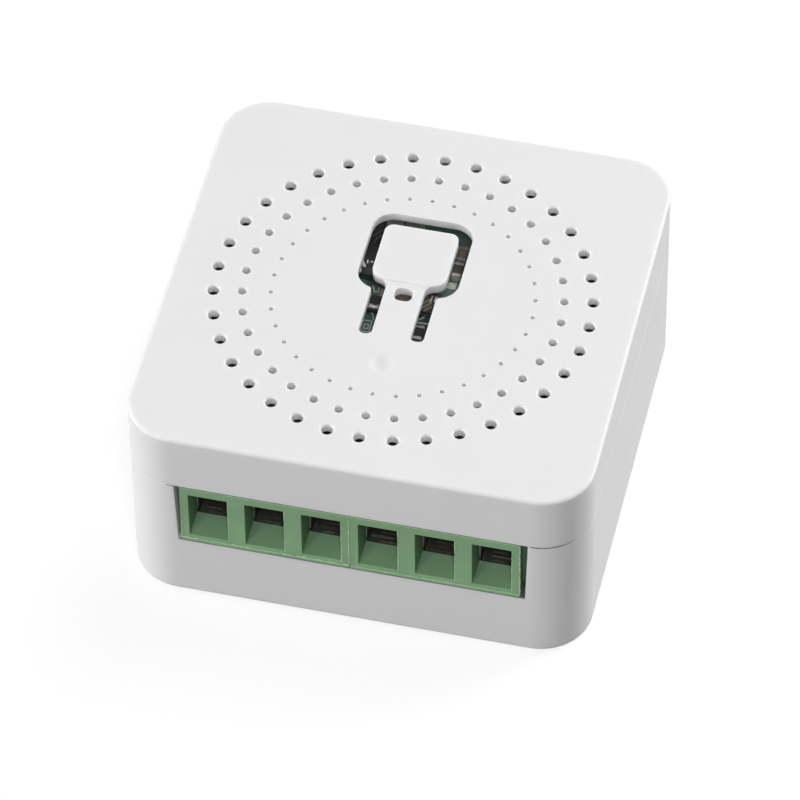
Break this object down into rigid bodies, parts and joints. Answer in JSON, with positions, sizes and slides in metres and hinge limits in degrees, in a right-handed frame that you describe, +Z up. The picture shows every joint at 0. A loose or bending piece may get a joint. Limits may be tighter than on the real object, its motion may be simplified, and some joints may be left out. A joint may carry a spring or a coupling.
{
  "type": "smart relay module",
  "caption": "Small square white switch module with a vented top, a sprung press button, a front row of screw terminals and a relay board inside.",
  "frame": {"origin": "centre of the bottom face of the case", "axes": "+X along the terminal row to the right, +Y from the terminal front to the back, +Z up"},
  "size_m": [0.0408, 0.0408, 0.02],
  "materials": {
    "case_white": "fine satin moulded plastic",
    "board_green": "glossy solder mask on glass laminate",
    "radio_black": "glossy black solder mask",
    "terminal_green": "satin moulded plastic",
    "clamp_steel": "zinc plated steel",
    "contact_brass": "tinned brass",
    "tinned_metal": "tinned metal",
    "shield_metal": "tin plated sheet",
    "black_plastic": "black moulding compound",
    "switch_brown": "dark moulded plastic",
    "light_lens": "cast resin",
    "relay_plastic": "moulded plastic",
    "bobbin_plastic": "moulded plastic",
    "copper_wire": "enamelled winding wire",
    "soft_iron": "plated soft iron",
    "can_blue": "shrink sleeve",
    "varistor_blue": "dipped epoxy",
    "fuse_green": "baked coating",
    "ferrite": "ferrite",
    "ceramic_brown": "fired ceramic"
  },
  "bodies": {
    "case": {"base_shell": "case_white", "top_cover": "case_white", "main_board": "board_green", "switch_body": "switch_brown", "status_led": "light_lens", "radio_board": "radio_black", "radio_shield": "shield_metal", "radio_chip": "black_plastic", "terminal_block_left": "terminal_green", "terminal_block_right": "terminal_green", "contact_bars": "contact_brass", "relay_base": "relay_plastic", "relay_cover": "relay_plastic", "relay_bobbin": "bobbin_plastic", "relay_winding": "copper_wire", "relay_core": "soft_iron", "relay_yoke": "soft_iron", "relay_contact": "contact_brass", "relay_pins": "tinned_metal", "capacitors": "can_blue", "inductor": "ferrite", "varistor": "varistor_blue", "fuse_resistor": "fuse_green", "bridge_rectifier": "black_plastic", "converter_chip": "black_plastic", "driver_transistor": "black_plastic", "chip_resistors": "black_plastic", "chip_capacitors": "ceramic_brown", "chip_ends": "tinned_metal"},
    "button": {"button_flap": "case_white"},
    "plunger": {"switch_plunger": "black_plastic"},
    "armature": {"relay_armature": "soft_iron"},
    "cage_1": {"clamp_cage_1": "clamp_steel"},
    "screw_1": {"clamp_screw_1": "clamp_steel"},
    "cage_2": {"clamp_cage_2": "clamp_steel"},
    "screw_2": {"clamp_screw_2": "clamp_steel"},
    "cage_3": {"clamp_cage_3": "clamp_steel"},
    "screw_3": {"clamp_screw_3": "clamp_steel"},
    "cage_4": {"clamp_cage_4": "clamp_steel"},
    "screw_4": {"clamp_screw_4": "clamp_steel"},
    "cage_5": {"clamp_cage_5": "clamp_steel"},
    "screw_5": {"clamp_screw_5": "clamp_steel"},
    "cage_6": {"clamp_cage_6": "clamp_steel"},
    "screw_6": {"clamp_screw_6": "clamp_steel"}
  },
  "joints": [
    {"name": "button_press", "type": "hinge", "parent": "case", "child": "button", "pos_m": [0, -0.00443, 0.01947], "axis": [-1, 0, 0], "range_deg": [0, 1.4], "stiffness_Nm_per_rad": 0.4},
    {"name": "plunger_travel", "type": "slide", "parent": "case", "child": "plunger", "axis": [0, 0, -1], "range_m": [0, 0.00026]},
    {"name": "armature_pull", "type": "hinge", "parent": "case", "child": "armature", "pos_m": [0.00935, 0.0077, 0.0121], "axis": [0, 1, 0], "range_deg": [0, 4], "stiffness_Nm_per_rad": 0.01},
    {"name": "screw_1_turn", "type": "hinge", "parent": "case", "child": "screw_1", "pos_m": [-0.0126, -0.0165, 0.0036], "axis": [0, 0, 1], "range_deg": [0, 2000]},
    {"name": "cage_1_clamp", "type": "slide", "parent": "case", "child": "cage_1", "axis": [0, 0, -1], "range_m": [0, 0.0025]},
    {"name": "screw_2_turn", "type": "hinge", "parent": "case", "child": "screw_2", "pos_m": [-0.0076, -0.0165, 0.0036], "axis": [0, 0, 1], "range_deg": [0, 2000]},
    {"name": "cage_2_clamp", "type": "slide", "parent": "case", "child": "cage_2", "axis": [0, 0, -1], "range_m": [0, 0.0025]},
    {"name": "screw_3_turn", "type": "hinge", "parent": "case", "child": "screw_3", "pos_m": [-0.0026, -0.0165, 0.0036], "axis": [0, 0, 1], "range_deg": [0, 2000]},
    {"name": "cage_3_clamp", "type": "slide", "parent": "case", "child": "cage_3", "axis": [0, 0, -1], "range_m": [0, 0.0025]},
    {"name": "screw_4_turn", "type": "hinge", "parent": "case", "child": "screw_4", "pos_m": [0.0024, -0.0165, 0.0036], "axis": [0, 0, 1], "range_deg": [0, 2000]},
    {"name": "cage_4_clamp", "type": "slide", "parent": "case", "child": "cage_4", "axis": [0, 0, -1], "range_m": [0, 0.0025]},
    {"name": "screw_5_turn", "type": "hinge", "parent": "case", "child": "screw_5", "pos_m": [0.0074, -0.0165, 0.0036], "axis": [0, 0, 1], "range_deg": [0, 2000]},
    {"name": "cage_5_clamp", "type": "slide", "parent": "case", "child": "cage_5", "axis": [0, 0, -1], "range_m": [0, 0.0025]},
    {"name": "screw_6_turn", "type": "hinge", "parent": "case", "child": "screw_6", "pos_m": [0.0124, -0.0165, 0.0036], "axis": [0, 0, 1], "range_deg": [0, 2000]},
    {"name": "cage_6_clamp", "type": "slide", "parent": "case", "child": "cage_6", "axis": [0, 0, -1], "range_m": [0, 0.0025]}
  ],
  "couplings": [
    {"joint": "plunger_travel", "follows": "button_press", "m_per_rad": 0.01043},
    {"joint": "screw_1_turn", "follows": "cage_1_clamp", "rad_per_m": 13963},
    {"joint": "screw_2_turn", "follows": "cage_2_clamp", "rad_per_m": 13963},
    {"joint": "screw_3_turn", "follows": "cage_3_clamp", "rad_per_m": 13963},
    {"joint": "screw_4_turn", "follows": "cage_4_clamp", "rad_per_m": 13963},
    {"joint": "screw_5_turn", "follows": "cage_5_clamp", "rad_per_m": 13963},
    {"joint": "screw_6_turn", "follows": "cage_6_clamp", "rad_per_m": 13963}
  ]
}
